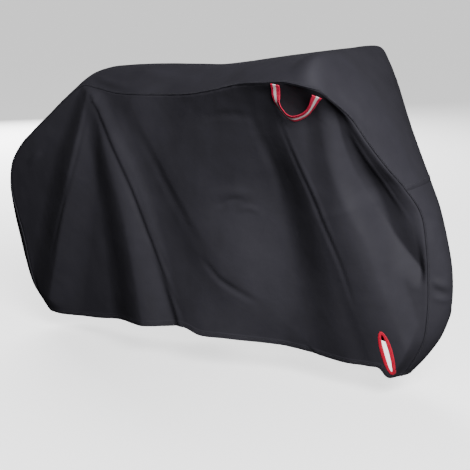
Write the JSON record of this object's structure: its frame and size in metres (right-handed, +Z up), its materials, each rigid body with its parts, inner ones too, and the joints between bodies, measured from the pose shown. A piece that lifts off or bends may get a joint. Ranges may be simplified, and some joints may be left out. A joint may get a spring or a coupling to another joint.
{
  "type": "bicycle cover",
  "caption": "Fitted bicycle cover of thin coated cloth, shaped over handlebar, saddle and wheels, open underneath, with a reflective webbing loop and bound lock eyelets.",
  "frame": {"origin": "under the middle of the cover, at the height of its lowest hem", "axes": "+X to the front, along the length; +Y across, to the far side; +Z up"},
  "size_m": [1.7524, 0.6578, 1.0237],
  "materials": {
    "black_cloth": "plain-woven polyester with a thin coating, satin black",
    "red_binding": "red woven binding tape, matt",
    "reflective_webbing": "red webbing with a silver reflective stripe along its middle"
  },
  "bodies": {
    "root": {"side_panel_near": "black_cloth", "side_panel_far": "black_cloth", "top_panel": "black_cloth", "front_panel": "black_cloth", "eyelet_binding_near": "red_binding", "eyelet_binding_far": "red_binding", "webbing_loop": "reflective_webbing"}
  },
  "joints": []
}
